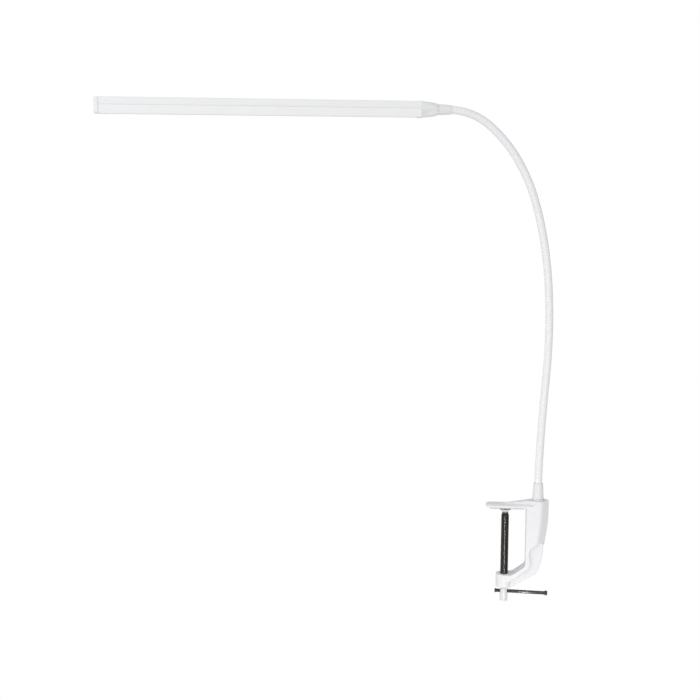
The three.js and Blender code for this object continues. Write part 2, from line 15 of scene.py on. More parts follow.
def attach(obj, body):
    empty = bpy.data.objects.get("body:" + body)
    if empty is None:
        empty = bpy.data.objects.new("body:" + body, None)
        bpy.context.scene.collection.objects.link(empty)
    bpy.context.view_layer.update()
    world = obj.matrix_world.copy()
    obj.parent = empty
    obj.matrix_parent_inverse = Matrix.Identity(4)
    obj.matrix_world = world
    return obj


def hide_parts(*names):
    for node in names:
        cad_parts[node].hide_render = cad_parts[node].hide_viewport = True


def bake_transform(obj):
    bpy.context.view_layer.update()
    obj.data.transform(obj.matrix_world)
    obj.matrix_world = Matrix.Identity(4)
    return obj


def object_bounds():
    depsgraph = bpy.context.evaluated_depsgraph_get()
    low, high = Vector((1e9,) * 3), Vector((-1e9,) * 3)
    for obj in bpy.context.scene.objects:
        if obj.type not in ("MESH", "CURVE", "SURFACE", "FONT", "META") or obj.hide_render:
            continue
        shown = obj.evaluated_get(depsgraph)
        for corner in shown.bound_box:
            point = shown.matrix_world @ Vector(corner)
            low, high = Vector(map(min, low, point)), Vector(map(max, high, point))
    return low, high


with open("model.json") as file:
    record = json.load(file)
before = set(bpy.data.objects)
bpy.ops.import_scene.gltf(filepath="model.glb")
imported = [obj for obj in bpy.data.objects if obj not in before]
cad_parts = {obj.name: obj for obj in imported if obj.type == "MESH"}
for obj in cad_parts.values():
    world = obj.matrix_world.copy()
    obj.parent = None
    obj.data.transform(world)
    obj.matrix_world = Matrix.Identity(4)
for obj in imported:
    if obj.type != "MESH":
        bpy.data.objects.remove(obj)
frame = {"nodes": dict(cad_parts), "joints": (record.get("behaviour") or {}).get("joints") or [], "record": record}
cad_box = [list(corner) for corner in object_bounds()]

MM = 0.001
GAP = 0.3  # between pieces that turn in or rest on each other

# ---- camera -------------------------------------------------------------------------------------
CAMERA_PLACE = Vector((-34.8, -1311.4, 378.4)) * MM
CAMERA_YAW = 5.52  # degrees that the view is turned from +Y towards -X
CAMERA_PITCH = 9.315  # degrees that it looks down
CAMERA_LENS = 66.86
CAMERA_SENSOR = 36

yaw, pitch = math.radians(CAMERA_YAW), math.radians(CAMERA_PITCH)
gaze = Vector((
    -math.sin(yaw) * math.cos(pitch),
    math.cos(yaw) * math.cos(pitch),
    -math.sin(pitch),
))
camera = bpy.data.objects.new("camera", bpy.data.cameras.new("camera"))
camera.location = CAMERA_PLACE
camera.rotation_euler = gaze.to_track_quat("-Z", "Y").to_euler()
camera.data.lens = CAMERA_LENS
camera.data.sensor_width = CAMERA_SENSOR
bpy.context.scene.collection.objects.link(camera)
bpy.context.scene.camera = camera


# ---- what the frame says ------------------------------------------------------------------------
def joint(name):
    return next(j for j in frame["joints"] if j["name"] == name)


def joint_place(name):
    return Vector(joint(name)["pos_m"])


def mount_place(name):
    return Vector(next(m for m in frame["record"]["mounts"] if m["name"] == name)["pos_m"]) / MM


def span(node, place=None):
    """The lowest and highest corner of a CAD node in the axes of a place, in mm."""
    back = (place or Matrix()).inverted()
    points = [back @ v.co / MM for v in frame["nodes"][node].data.vertices]
    low = Vector([min(p[i] for p in points) for i in range(3)])
    high = Vector([max(p[i] for p in points) for i in range(3)])
    return low, high


def axes(origin, x, y, z):
    """The place with that origin, in metres, and those axes."""
    turn = Matrix((x, y, z)).transposed().to_4x4()
    return Matrix.Translation(origin) @ turn


# ---- making meshes ------------------------------------------------------------------------------
CREASE = 35  # degrees: edges sharper than this stay sharp
DOUBLED = 1e-7  # metres: points closer than this are one point
TURNED_SIDES = 72
ROD_SIDES = 64


def shaded(mesh):
    mesh.shade_smooth()
    mesh.set_sharp_from_angle(angle=math.radians(CREASE))
    return mesh


def piece_of(name, mesh):
    piece = bpy.data.objects.new(name, shaded(mesh))
    bpy.context.scene.collection.objects.link(piece)
    return piece


def cleaned(name, work):
    """A piece from a bmesh, with doubled points merged and its faces pointing out."""
    bmesh.ops.remove_doubles(work, verts=work.verts, dist=DOUBLED)
    bmesh.ops.recalc_face_normals(work, faces=work.faces)
    mesh = bpy.data.meshes.new(name)
    work.to_mesh(mesh)
    work.free()
    return piece_of(name, mesh)


def loft(name, rings, ends="capped"):
    """A skin over rings of equally many points, in metres. Its ends are capped, open or joined."""
    size, count = len(rings[0]), len(rings)
    work = bmesh.new()
    verts = [[work.verts.new(p) for p in ring] for ring in rings]
    for i in range(count if ends == "joined" else count - 1):
        here, there = verts[i], verts[(i + 1) % count]
        for k in range(size):
            following = (k + 1) % size
            work.faces.new((here[k], here[following], there[following], there[k]))
    if ends == "capped":
        work.faces.new(verts[0])
        work.faces.new(verts[-1])
    return cleaned(name, work)


def rounded(points, closed=True, steps=6):
    """The points of an outline of (x, y, cut) corners, with its corners replaced by curves."""
    outline = []
    for i, (x, y, cut) in enumerate(points):
        corner = Vector((x, y))
        if not cut or (not closed and i in (0, len(points) - 1)):
            outline.append(corner)
            continue
        before = Vector(points[i - 1][:2]) - corner
        after = Vector(points[(i + 1) % len(points)][:2]) - corner
        start = corner + before.normalized() * min(cut, before.length * 0.49)
        end = corner + after.normalized() * min(cut, after.length * 0.49)
        for k in range(steps + 1):
            t = k / steps
            outline.append((1 - t) ** 2 * start + 2 * t * (1 - t) * corner + t * t * end)
    return outline


def polar(place, angle, radius, height):
    """A point about a place's Z axis, in metres."""
    return place @ (Vector((radius * math.cos(angle), radius * math.sin(angle), height)) * MM)


def circle(radius, height, place, sides):
    return [polar(place, 2 * math.pi * k / sides, radius, height) for k in range(sides)]


def turned(name, profile, place=None, sides=TURNED_SIDES):
    """A turned piece. A profile that starts on the axis has to end there; any other is closed."""
    solid = profile[0][0] == 0
    rings = [
        circle(radius, height, place or Matrix(), sides)
        for radius, height in rounded(profile, closed=not solid)
    ]
    return loft(name, rings, "open" if solid else "joined")


def mirrored(half):
    """A closed outline from its half where y is positive, which starts and ends at y = 0."""
    return half + [(x, -y, cut) for x, y, cut in reversed(half[1:-1])]


def prism(name, outline, low, high, place):
    """An outline, drawn in the X and Y of a place, from height low to height high."""
    rings = [[place @ (Vector((x, y, z)) * MM) for x, y in outline] for z in (low, high)]
    return loft(name, rings)


def radii(outline, sides):
    """How far an outline is from its middle, in equal steps of angle."""
    parallel = 1e-12  # a ray and an edge that cross by less than this never meet
    slack = 1e-9  # keeps a ray through a corner from missing both of its edges
    found = []
    for k in range(sides):
        angle = 2 * math.pi * k / sides
        ray = Vector((math.cos(angle), math.sin(angle)))
        reach = 0
        for a, b in zip(outline, outline[1:] + outline[:1]):
            edge = b - a
            across = ray.x * edge.y - ray.y * edge.x
            if abs(across) < parallel:
                continue
            along = (a.x * edge.y - a.y * edge.x) / across
            share = (a.x * ray.y - a.y * ray.x) / across
            if -slack <= share <= 1 + slack:
                reach = max(reach, along)
        found.append(reach)
    return found


def applied(piece):
    """The piece with its modifiers made permanent."""
    graph = bpy.context.evaluated_depsgraph_get()
    mesh = bpy.data.meshes.new_from_object(piece.evaluated_get(graph))
    piece.modifiers.clear()
    piece.data = shaded(mesh)
    return piece


def combined(piece, tool, operation):
    modifier = piece.modifiers.new(operation, "BOOLEAN")
    modifier.object = tool
    modifier.operation = operation
    modifier.solver = "EXACT"
    applied(piece)
    bpy.data.objects.remove(tool)
    return piece


def rod(radius, low, high, place):
    profile = [(0, low, 0), (radius, low, 0), (radius, high, 0), (0, high, 0)]
    return turned("rod", profile, place, ROD_SIDES)


def cast(name, solids, voxel, rounds):
    """Solids that overlap, made one, with the soft edges and corners of a casting."""
    work = bmesh.new()
    for solid in solids:
        work.from_mesh(solid.data)
        bpy.data.objects.remove(solid)
    mesh = bpy.data.meshes.new(name)
    work.to_mesh(mesh)
    work.free()
    piece = piece_of(name, mesh)
    remesh = piece.modifiers.new("remesh", "REMESH")
    remesh.mode = "VOXEL"
    remesh.voxel_size = voxel * MM
    smooth = piece.modifiers.new("smooth", "SMOOTH")
    smooth.factor = 0.5
    smooth.iterations = rounds
    return applied(piece)


# ---- materials ----------------------------------------------------------------------------------
BROAD = 12  # how many times coarser the broad texture is than the fine one
BROAD_SHARE = 0.6  # how much of the change of colour is the broad texture's
ROUGHNESS_WANDER = 0.15
FINISHES = {}


def noise(nodes, links, vector, scale, detail=2.0):
    texture = nodes.new("ShaderNodeTexNoise")
    texture.inputs["Scale"].default_value = scale
    texture.inputs["Detail"].default_value = detail
    links.new(vector, texture.inputs["Vector"])
    return texture.outputs["Fac"]


def spread(nodes, links, value, low, high):
    """A texture's value, mapped from its usual range to low ... high."""
    node = nodes.new("ShaderNodeMapRange")
    node.inputs["From Min"].default_value = 0.3
    node.inputs["From Max"].default_value = 0.7
    node.inputs["To Min"].default_value = low
    node.inputs["To Max"].default_value = high
    links.new(value, node.inputs["Value"])
    return node.outputs["Result"]


def finish(
    name, colour, roughness, grain, height, wander, stretch=(1, 1, 1), turn=None, metallic=0.0
):
    """Makes a procedural finish. grain is its texture's size and height its depth, both in mm;
    wander is how much its colour changes; stretch draws the texture out along the axes of the
    place called turn."""
    material = bpy.data.materials.new(name)
    material.use_nodes = True
    nodes, links = material.node_tree.nodes, material.node_tree.links
    shader = nodes["Principled BSDF"]
    shader.inputs["Metallic"].default_value = metallic

    vector = nodes.new("ShaderNodeTexCoord").outputs["Object"]
    if turn:
        aligned = nodes.new("ShaderNodeMapping")
        aligned.inputs["Rotation"].default_value = turn.to_3x3().inverted().to_euler()
        links.new(vector, aligned.inputs["Vector"])
        vector = aligned.outputs["Vector"]
    scaled = nodes.new("ShaderNodeMapping")
    scaled.inputs["Scale"].default_value = [1 / s for s in stretch]
    links.new(vector, scaled.inputs["Vector"])
    vector = scaled.outputs["Vector"]

    fine = noise(nodes, links, vector, 1 / (grain * MM))
    broad = noise(nodes, links, vector, 1 / (BROAD * grain * MM), 4)
    shade = nodes.new("ShaderNodeMix")
    shade.data_type = "RGBA"
    shade.inputs["A"].default_value = [c * (1 - wander) for c in colour] + [1]
    shade.inputs["B"].default_value = [min(1, c * (1 + wander)) for c in colour] + [1]
    both = nodes.new("ShaderNodeMath")
    both.operation = "ADD"
    links.new(spread(nodes, links, broad, 0, BROAD_SHARE), both.inputs[0])
    links.new(spread(nodes, links, fine, 0, 1 - BROAD_SHARE), both.inputs[1])
    links.new(both.outputs[0], shade.inputs["Factor"])
    links.new(shade.outputs["Result"], shader.inputs["Base Color"])
    smoothest, roughest = roughness * (1 - ROUGHNESS_WANDER), roughness * (1 + ROUGHNESS_WANDER)
    links.new(spread(nodes, links, fine, smoothest, roughest), shader.inputs["Roughness"])
    bump = nodes.new("ShaderNodeBump")
    bump.inputs["Distance"].default_value = height * MM
    links.new(fine, bump.inputs["Height"])
    links.new(bump.outputs["Normal"], shader.inputs["Normal"])
    FINISHES[name] = material


neck_axis = Vector(joint("neck_bend_9")["axis"])
head_axis = Vector(joint("head_twist")["axis"])
# Z out along the bar, X down and Y across the bar
head = axes(joint_place("head_twist"), neck_axis.cross(head_axis), neck_axis, head_axis)

# name, colour, roughness, grain, height, wander and, where the grain has a direction, stretch
finish("powder_coat", (0.755, 0.755, 0.77), 0.42, 0.9, 0.05, 0.02)
finish("gooseneck_white", (0.80, 0.805, 0.82), 0.34, 0.5, 0.006, 0.012)
finish("white_aluminium", (0.805, 0.81, 0.81), 0.4, 0.35, 0.008, 0.015, (1, 1, 60), turn=head)
finish("opal_plastic", (0.82, 0.825, 0.84), 0.34, 1.5, 0.004, 0.008)
finish("frosted_plastic", (0.79, 0.795, 0.81), 0.42, 0.4, 0.008, 0.015)
finish("black_nickel", (0.085, 0.079, 0.076), 0.15, 0.3, 0.003, 0.15, metallic=1.0)
finish("white_zinc", (0.71, 0.71, 0.70), 0.3, 0.25, 0.0015, 0.012, (1, 1, 6))
finish("steel", (0.16, 0.155, 0.15), 0.28, 0.2, 0.01, 0.08, metallic=1.0)
# rubber: a real jaw pad, but its grey-violet tone is painted shade that copies the shaded line under the jaw's
# edge
finish("rubber", (0.52, 0.5, 0.56), 0.8, 0.35, 0.03, 0.06)
finish("black_plastic", (0.02, 0.02, 0.022), 0.5, 0.3, 0.015, 0.15)
finish("nylon", (0.72, 0.73, 0.685), 0.4, 0.6, 0.006, 0.015)
finish("lead", (0.6, 0.6, 0.6), 0.55, 0.3, 0.01, 0.05)
finish("circuit_board", (0.8, 0.8, 0.77), 0.5, 0.5, 0.005, 0.03)


def dress(piece, slot):
    piece.data.materials.clear()
    piece.data.materials.append(FINISHES[slot])
    return piece


def add(piece, slot, body, *nodes):
    """A rigid piece that stands for CAD nodes of a body."""
    dress(piece, slot)
    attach(piece, body)
    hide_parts(*nodes)
    return piece


# CAD nodes that stay get their slot's finish.
for subpart in frame["record"]["subparts"]:
    node = frame["nodes"][subpart["node"]]
    for material_slot in node.material_slots:
        material_slot.material = FINISHES[subpart["material_slot"]]

# ---- clamp casting ------------------------------------------------------------------------------
cast_low, cast_high = span("clamp_casting")
swivel = joint_place("base_swivel") / MM
spine_inner = mount_place("edge_stop").x
inlet_low, inlet_high = span("power_inlet")
INLET_RIM = 0.9
half_width = inlet_high.y - INLET_RIM - GAP
# The clamp's side view is drawn in this place: its X and Y are the frame's X and Z.
side = axes(Vector(), Vector((1, 0, 0)), Vector((0, 0, 1)), Vector((0, -1, 0)))

BOSS_RADIUS = 8.6
BOSS_HEIGHT = 14.1
JAW_THICKNESS = 3
WEB_HALF = 5
BEVEL_X, BEVEL_Y = 7.4, 7.6  # the bevel on the spine's outer edges
SCREW_BORE = 4 + GAP
PIN_BORE = 5
PIN_BORE_END = -28
GRUB_BORE = 2.3
INLET_BORE = 4
BACK_BORES_START = 2  # how far behind the swivel's axis the two bores above start
CAST_VOXEL = 0.36
CAST_ROUNDS = 5
boss_top = cast_low.z + BOSS_HEIGHT
jaw_under = span("jaw_pad")[1].z + GAP
jaw_top = jaw_under + JAW_THICKNESS
spine_shoulder = swivel.x - 2.7
spine_top = cast_high.z - 0.9


def thick_part():
    """The spine and the flange of the arm, as wide as the clamp, with a step down to the web."""
    outline = rounded([
        (spine_shoulder, spine_top, 0.5),
        (cast_high.x, spine_top, 0.5),
        (cast_high.x, -14, 14),
        (40.6, -39, 0.4),
        (37.2, -35.4, 1.4),
        (25.6, -42.8, 3.4),
        (25.4, -49, 2),
        (26.7, -56, 3),
        (26.2, -62.4, 3.6),
        (6, -77.6, 0),
        (0, -77.6, 0),
        (0, boss_top, 0),
        (8, boss_top, 2),
        (spine_inner, -61, 2.8),
        (spine_inner, jaw_top - 0.4, 0),
        (spine_shoulder, jaw_top - 0.4, 3.4),
    ])
    return prism("spine", outline, -half_width, half_width, side)


def edge_form():
    """A block with the clamp's outer edge and its bevels, to intersect the thick part with."""
    outer, inner = cast_high.x, -12
    edge = rounded([
        (outer, cast_high.z + 2, 0),
        (outer, -14, 14),
        (outer - 4.8, -48, 9),
        (outer - 10.8, -69, 6),
        (8.4, cast_low.z + 0.6, 1),
    ], closed=False, steps=12)
    rings = []
    for x, z in [p for p in edge if p.x > 20]:
        plan = rounded([
            (inner, -half_width, 0),
            (x - BEVEL_X, -half_width, 2),
            (x, BEVEL_Y - half_width, 0.8),
            (x, half_width - BEVEL_Y, 0.8),
            (x - BEVEL_X, half_width, 2),
            (inner, half_width, 0),
        ])
        rings.append([Vector((px, py, z)) * MM for px, py in plan])
    rings.append([Vector((p.x, p.y, (cast_low.z - 2) * MM)) for p in rings[-1]])
    return loft("edge form", rings)


def web():
    """The thinner plate outside the flange, from the spine to the boss."""
    outline = rounded([
        (26, -20, 0),
        (33, -20, 0),
        (36, -34.5, 0),
        (39.4, -37.4, 1.2),
        (39.6, -48, 9),
        (34, -69, 6),
        (8.4, cast_low.z + 0.6, 1),
        (3, cast_low.z + 0.6, 0),
        (3, -75, 0),
        (22, -62, 0),
    ])
    return prism("web", outline, -WEB_HALF, WEB_HALF, side)


def jaw():
    """The upper jaw, with a crowned top."""
    crown_height, crown_inset = 1, 3.4
    rings = []
    for inset, z in [(0, jaw_under), (0, jaw_top - crown_height), (crown_inset, jaw_top)]:
        plan = rounded([
            (spine_shoulder, inset - half_width, 0),
            (spine_shoulder, half_width - inset, 0),
            (cast_low.x + inset / 2, half_width - inset, 6),
            (cast_low.x + inset / 2, inset - half_width, 6),
        ])
        rings.append([Vector((x, y, z)) * MM for x, y in plan])
    return loft("jaw", rings)


def gusset():
    """A ramp on the jaw, pointed at its tip and nearly as high as the spine at its other end."""
    tip, crest, root, half = -6.6, 24, spine_shoulder + 2, 6
    base, high = jaw_top - 1, spine_top - 0.4
    work = bmesh.new()
    crest_half = half * (crest - tip) / (root - tip)
    for corner in [
        (tip, 0, base), (tip, 0, jaw_top),
        (root, half, base), (root, -half, base),
        (crest, crest_half, high), (crest, -crest_half, high),
        (root, half, high), (root, -half, high),
    ]:
        work.verts.new(Vector(corner) * MM)
    bmesh.ops.convex_hull(work, input=work.verts)
    return cleaned("gusset", work)


def boss():
    edge = 0.9
    profile = [
        (0, cast_low.z, 0),
        (BOSS_RADIUS, cast_low.z, edge),
        (BOSS_RADIUS, boss_top, edge),
        (0, boss_top, 0),
    ]
    return turned("boss", profile)


upright = Matrix.Translation(Vector((swivel.x, 0, 0)) * MM)
grub_low, grub_high = span("pin_grub_screw")


def backwards(z):
    """A place on the swivel's axis, at that height, whose Z runs to the back."""
    origin = Vector((swivel.x, 0, z)) * MM
    return axes(origin, Vector((1, 0, 0)), Vector((0, 0, -1)), Vector((0, 1, 0)))


grub = backwards((grub_low.z + grub_high.z) / 2)
inlet = backwards((inlet_low.z + inlet_high.z) / 2)
body = combined(thick_part(), edge_form(), "INTERSECT")
solids = [body, web(), jaw(), gusset(), boss()]
casting = cast("clamp_body", solids, CAST_VOXEL, CAST_ROUNDS)
for bore, low, high, place in [
    (SCREW_BORE, cast_low.z - 1, boss_top + 1, Matrix()),
    (PIN_BORE, PIN_BORE_END, cast_high.z + 1, upright),
    (GRUB_BORE, BACK_BORES_START, half_width + 1, grub),
    (INLET_BORE, BACK_BORES_START, half_width + 1, inlet),
]:
    combined(casting, rod(bore, low, high, place), "DIFFERENCE")
add(casting, "powder_coat", "clamp", "clamp_casting")

socket_face = half_width + GAP
rim_face = inlet_high.y
add(
    turned("inlet_socket", [
        (0, 5.6, 0),
        (3.7, 5.6, 0),
        (3.7, socket_face, 0),
        (5, socket_face, 0.1),
        (5, rim_face, 0.35),
        (2.9, rim_face, 0.2),
        (2.9, 6.6, 0),
        (1, 6.6, 0),
        (1, socket_face + 0.4, 0.3),
        (0, socket_face + 0.4, 0),
    ], inlet),
    "black_plastic", "clamp", "power_inlet",
)

# ---- clamp screw --------------------------------------------------------------------------------
SCREW_RADIUS = 4
THREAD_PITCH = 1.25
THREAD_DEPTH = 0.5
THREAD_CREST, THREAD_FLANK = 0.4, 0.5  # how wide they are, where 1 is half a pitch
TIP_LENGTH, TIP_TAPER = 2, 1.7  # how the thread rounds off at its upper end
PEG_RADIUS, PEG_LENGTH = 2.6, 1.2  # the rod's lower end, inside the shank
PEG_HOLE_RADIUS, PEG_HOLE_DEPTH = 2.9, 1.5
STEM_RADIUS = 1.2
BALL_RADIUS = 1.9
washer_low, washer_high = span("thrust_washer")
pad_low, pad_high = span("swivel_pad")
head_low, head_high = span("screw_head")
screw_top = washer_low.z - GAP
ball_z = joint_place("pad_tilt").z / MM


def thread(phase):
    """How deep a right-hand thread is, as a share of its full depth, at a phase from 0 to 1."""
    return min(1, max(0, (abs(phase - 0.5) * 2 - THREAD_CREST) / THREAD_FLANK))


def screw_rod():
    """The threaded rod, with its peg at the bottom and its stem and ball at the top."""
    sides, rings_per_turn, ball_steps = 56, 9, 12
    peg_end = head_high.z - PEG_LENGTH
    foot = head_high.z + GAP
    rings = [
        circle(radius, height, Matrix(), sides)
        for radius, height in [
            (1.7, peg_end),
            (PEG_RADIUS, peg_end),
            (PEG_RADIUS, foot),
            (SCREW_RADIUS - THREAD_DEPTH, foot),
        ]
    ]
    count = round((screw_top - foot) / THREAD_PITCH * rings_per_turn)
    for i in range(1, count + 1):
        z = foot + (screw_top - foot) * i / count
        crown = SCREW_RADIUS - TIP_TAPER * max(0, 1 - (screw_top - z) / TIP_LENGTH) ** 2
        ring = []
        for k in range(sides):
            share = k / sides
            depth = THREAD_DEPTH * thread((z / THREAD_PITCH - share) % 1)
            radius = min(crown, SCREW_RADIUS - depth)
            ring.append(polar(Matrix(), 2 * math.pi * share, radius, z))
        rings.append(ring)
    rings.append(circle(STEM_RADIUS, screw_top, Matrix(), sides))
    stem_angle = math.asin(STEM_RADIUS / BALL_RADIUS)
    for k in range(ball_steps + 1):
        angle = stem_angle + (math.pi - stem_angle) * k / ball_steps
        height = ball_z - BALL_RADIUS * math.cos(angle)
        rings.append(circle(BALL_RADIUS * math.sin(angle), height, Matrix(), sides))
    return loft("clamp_screw_rod", [[Vector((0, 0, rings[0][0].z))] * sides] + rings, "open")


add(screw_rod(), "black_nickel", "screw", "clamp_screw")

slide_axis = Vector(joint("tommy_bar_slide")["axis"]).normalized()
tommy_low, tommy_high = span("tommy_bar")
tommy_z = (tommy_low.z + tommy_high.z) / 2
across_bar = Vector((0, 0, 1)).cross(slide_axis)
tommy = axes(Vector((0, 0, tommy_z)) * MM, across_bar, slide_axis.cross(across_bar), slide_axis)
bar_low, bar_high = span("tommy_bar", tommy)
TOMMY_RADIUS = 1.75

shank = turned("screw_shank", [
    (0, head_low.z, 0),
    (SCREW_RADIUS, head_low.z, 0.9),
    (SCREW_RADIUS, head_high.z, 0.25),
    (PEG_HOLE_RADIUS, head_high.z, 0.1),
    (PEG_HOLE_RADIUS, head_high.z - PEG_HOLE_DEPTH, 0),
    (0, head_high.z - PEG_HOLE_DEPTH, 0),
])
combined(shank, rod(TOMMY_RADIUS + GAP, -9, 9, tommy), "DIFFERENCE")
add(shank, "white_zinc", "screw", "screw_head")


def tommy_bar():
    """The bar that turns the screw, with a swaged stop on one end and a crossed flare on the
    other. Each ring has a radius, a height and how far its four lobes swell."""
    sides, lobes = 48, 4
    stops = [
        (1.3, bar_low.z, 0),
        (1.9, bar_low.z + 0.25, 0),
        (2.15, bar_low.z + 0.7, 0),
        (2.15, bar_low.z + 1.3, 0),
        (TOMMY_RADIUS, bar_low.z + 2.1, 0),
        (TOMMY_RADIUS, bar_high.z - 4.2, 0),
        (1.95, bar_high.z - 3.2, 0.1),
        (2.2, bar_high.z - 2.2, 0.3),
        (2.25, bar_high.z - 1.2, 0.4),
        (2.1, bar_high.z - 0.5, 0.3),
        (1.6, bar_high.z - 0.05, 0.3),
    ]
    rings = []
    for radius, height, flare in stops:
        ring = []
        for k in range(sides):
            angle = 2 * math.pi * k / sides
            ring.append(polar(tommy, angle, radius + flare * math.cos(lobes * angle), height))
        rings.append(ring)
    return loft("tommy_bar_rod", rings)


add(tommy_bar(), "black_nickel", "tommy_bar", "tommy_bar")

pad_radius = (pad_high.x - pad_low.x) / 2
mouth, socket = BALL_RADIUS - 0.15, BALL_RADIUS + GAP
add(
    turned("swivel_dish", [
        (mouth, pad_low.z, 0.1),
        (2.8, pad_low.z, 0.3),
        (3.1, pad_low.z + 0.9, 0.6),
        (pad_radius, pad_high.z - 0.8, 0.3),
        (pad_radius, pad_high.z, 0.3),
        (1.3, pad_high.z, 0.1),
        (1.3, pad_high.z - 0.15, 0),
        (socket, ball_z + 1.3, 0.5),
        (socket, ball_z - 0.8, 0.2),
        (mouth, pad_low.z + 0.15, 0),
    ]),
    "nylon", "pad", "swivel_pad",
)


def ring_profile(inner, outer, low, high, cut=0.12):
    return [(inner, low, cut), (outer, low, cut), (outer, high, cut), (inner, high, cut)]


washer_radius = (washer_high.x - washer_low.x) / 2
washer = ring_profile(STEM_RADIUS + GAP, washer_radius, washer_low.z, washer_high.z)
add(turned("thrust_ring", washer), "steel", "screw_carrier", "thrust_washer")

# ---- swivel -------------------------------------------------------------------------------------
ferrule_low, ferrule_high = span("base_ferrule")
SWIVEL_GAP = 0.1  # below and above the washer under the ferrule
swivel_washer_top = span("swivel_washer")[1].z
foot_z = swivel_washer_top + SWIVEL_GAP
FOOT_RADIUS = 5.85
NECK_BORE = 4.15
LEAD_BORE = 2.4
pin = PIN_BORE - GAP
seat = ferrule_high.z - 12.3
add(
    turned("ferrule_and_pin", [
        (LEAD_BORE, ferrule_low.z, 0),
        (pin, ferrule_low.z, 0.4),
        (pin, -4, 0),
        (pin - 1, -3.6, 0),
        (pin - 1, -0.4, 0),
        (pin, 0, 0),
        (pin, foot_z, 0),
        (FOOT_RADIUS, foot_z, 0.3),
        (4.95, ferrule_high.z - 0.5, 0.4),
        (4.5, ferrule_high.z, 0.2),
        (NECK_BORE, ferrule_high.z, 0.1),
        (NECK_BORE, seat, 0),
        (LEAD_BORE, seat, 0),
    ], upright),
    "powder_coat", "swivel", "base_ferrule",
)
swivel_ring = ring_profile(PIN_BORE, FOOT_RADIUS, spine_top + SWIVEL_GAP, swivel_washer_top)
add(turned("swivel_ring", swivel_ring, upright), "nylon", "swivel", "swivel_washer")

# ---- gooseneck ----------------------------------------------------------------------------------
RIB_PITCH = 2.5
RIB_PEAK = 4.0
RIB_VALLEY = 3.74
RIB_FULLNESS = 0.7  # below 1 makes the ribs fuller than a sine wave's
RIB_SIDES = 40
RINGS_PER_RIB = 8
HELD_BELOW, HELD_ABOVE = 11.5, 7.4  # lengths of neck inside the two ferrules
STIFF_BELOW, STIFF_ABOVE = 1, 3  # lengths of neck next to them that don't bend

neck_joints = [j for j in frame["joints"] if j["name"].startswith("neck_")]
knots = [Vector((swivel.x, 0, ferrule_high.z))]
knots += [Vector(j["pos_m"]) / MM for j in neck_joints] + [joint_place("head_twist") / MM]


class Arc:
    """A stretch of the neck's centreline: it leaves a knot along a direction, for the next."""

    def __init__(self, start, along, end):
        chord = end - start
        self.start, self.along = start, along
        bend = 2 * along.angle(chord)
        inward = chord.normalized() - along * along.dot(chord.normalized())
        self.inward = inward.normalized()
        self.radius = chord.length / (2 * math.sin(bend / 2))
        self.length = self.radius * bend
        self.leaving = (along * math.cos(bend) + self.inward * math.sin(bend)).normalized()

    def at(self, distance):
        """The place and direction at a distance along it. It runs on straight at its ends."""
        within = min(max(distance, 0), self.length)
        angle = within / self.radius
        along = self.along * math.cos(angle) + self.inward * math.sin(angle)
        place = self.start + self.radius * (
            math.sin(angle) * self.along + (1 - math.cos(angle)) * self.inward
        )
        return place + along * (distance - within), along


arcs = []
direction = Vector((0, 0, 1))
for here, there in zip(knots, knots[1:]):
    arcs.append(Arc(here, direction, there))
    direction = arcs[-1].leaving
starts = [sum(arc.length for arc in arcs[:i]) for i in range(len(arcs) + 1)]
middles = [(a + b) / 2 for a, b in zip(starts, starts[1:])]


def on_neck(distance):
    """The place and direction at a distance along the neck from the top of its ferrule."""
    index = max(i for i in range(len(arcs)) if i == 0 or starts[i] <= distance)
    return arcs[index].at(distance - starts[index])


def neck_skin(name, low, high):
    """The coiled tube from one distance along the centreline to another."""
    count = math.ceil((high - low) / RIB_PITCH * RINGS_PER_RIB)
    rings = []
    for i in range(count + 1):
        distance = low + (high - low) * i / count
        place, along = on_neck(distance)
        outward = neck_axis.cross(along)
        ring = []
        for k in range(RIB_SIDES):
            share = k / RIB_SIDES
            wave = math.sin(math.pi * (distance / RIB_PITCH - share)) ** 2
            radius = RIB_VALLEY + (RIB_PEAK - RIB_VALLEY) * wave**RIB_FULLNESS
            angle = 2 * math.pi * share
            spoke = math.cos(angle) * outward + math.sin(angle) * neck_axis
            ring.append((place + radius * spoke) * MM)
        rings.append(ring)
    return loft(name, rings)


for i, neck_joint in enumerate(neck_joints):
    first, last = i == 0, i == len(neck_joints) - 1
    low = -HELD_BELOW if first else middles[i]
    high = starts[-1] + HELD_ABOVE if last else middles[i + 1]
    skin = dress(neck_skin(f"gooseneck_{i + 1}", low, high), "gooseneck_white")
    begin = on_neck(STIFF_BELOW if first else middles[i])[0] * MM
    end = on_neck(starts[-1] - STIFF_ABOVE if last else middles[i + 1])[0] * MM
    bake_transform(skin)
    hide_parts(f"neck_{i + 1}", *(["neck_10"] if last else []))

# ---- head ---------------------------------------------------------------------------------------
head_ferrule = span("head_ferrule", head)
collar_span = span("collar", head)
housing_span = span("light_housing", head)
cover_span = span("diffuser", head)
cap_span = span("end_cap", head)
clip_span = span("retaining_clip", head)
collar_start = collar_span[0].z
collar_end = housing_span[0].z - GAP
bar_start, bar_end = housing_span[0].z, housing_span[1].z
bar_half = housing_span[1].y
bar_top = housing_span[0].x
bar_split = housing_span[1].x
bar_bottom = cover_span[1].x
HEAD_SIDES = 144
FERRULE_GAP = 0.12  # between the ferrule and the collar
END_GAP = 0.08  # between the bar and the collar or the end cap
PLUG_DEPTH = 5  # how far the collar and the end cap reach into the bar

